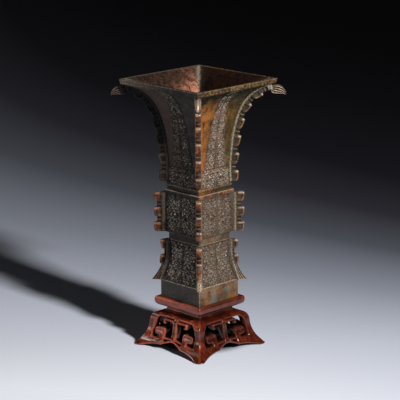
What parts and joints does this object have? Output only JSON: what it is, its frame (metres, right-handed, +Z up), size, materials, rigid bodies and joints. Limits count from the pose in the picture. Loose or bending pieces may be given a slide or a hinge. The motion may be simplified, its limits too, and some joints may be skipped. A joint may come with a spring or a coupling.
{
  "type": "square bronze vase on a wooden stand",
  "caption": "Square trumpet-mouthed bronze vase with hooked corner flanges and raised ornament, standing loose in the tray of a low carved hardwood stand.",
  "frame": {"origin": "centre of the stand's footprint on the surface that it stands on", "axes": "+Z up, +X and -Y square to the two faces that meet at the corner nearest the picture's camera"},
  "size_m": [0.138, 0.138, 0.3],
  "materials": {
    "bronze": "patinated cast bronze",
    "flange_bronze": "reddish patinated cast bronze",
    "hardwood": "polished reddish-brown hardwood"
  },
  "bodies": {
    "stand": {"stand_board": "hardwood", "stand_waist": "hardwood", "stand_leg_front_right": "hardwood", "stand_leg_back_right": "hardwood", "stand_leg_back_left": "hardwood", "stand_leg_front_left": "hardwood", "stand_apron_front": "hardwood", "stand_apron_right": "hardwood", "stand_apron_back": "hardwood", "stand_apron_left": "hardwood"},
    "vessel": {"neck": "bronze", "belly": "bronze", "foot": "bronze", "base_plate": "bronze", "neck_flange_front_right": "flange_bronze", "neck_flange_back_right": "flange_bronze", "neck_flange_back_left": "flange_bronze", "neck_flange_front_left": "flange_bronze", "belly_flange_front_right": "flange_bronze", "belly_flange_back_right": "flange_bronze", "belly_flange_back_left": "flange_bronze", "belly_flange_front_left": "flange_bronze", "foot_flange_front_right": "flange_bronze", "foot_flange_back_right": "flange_bronze", "foot_flange_back_left": "flange_bronze", "foot_flange_front_left": "flange_bronze"}
  },
  "joints": [
    {"name": "vessel_lift", "type": "slide", "parent": "stand", "child": "vessel", "axis": [0, 0, 1], "range_m": [0, 0.08]}
  ]
}
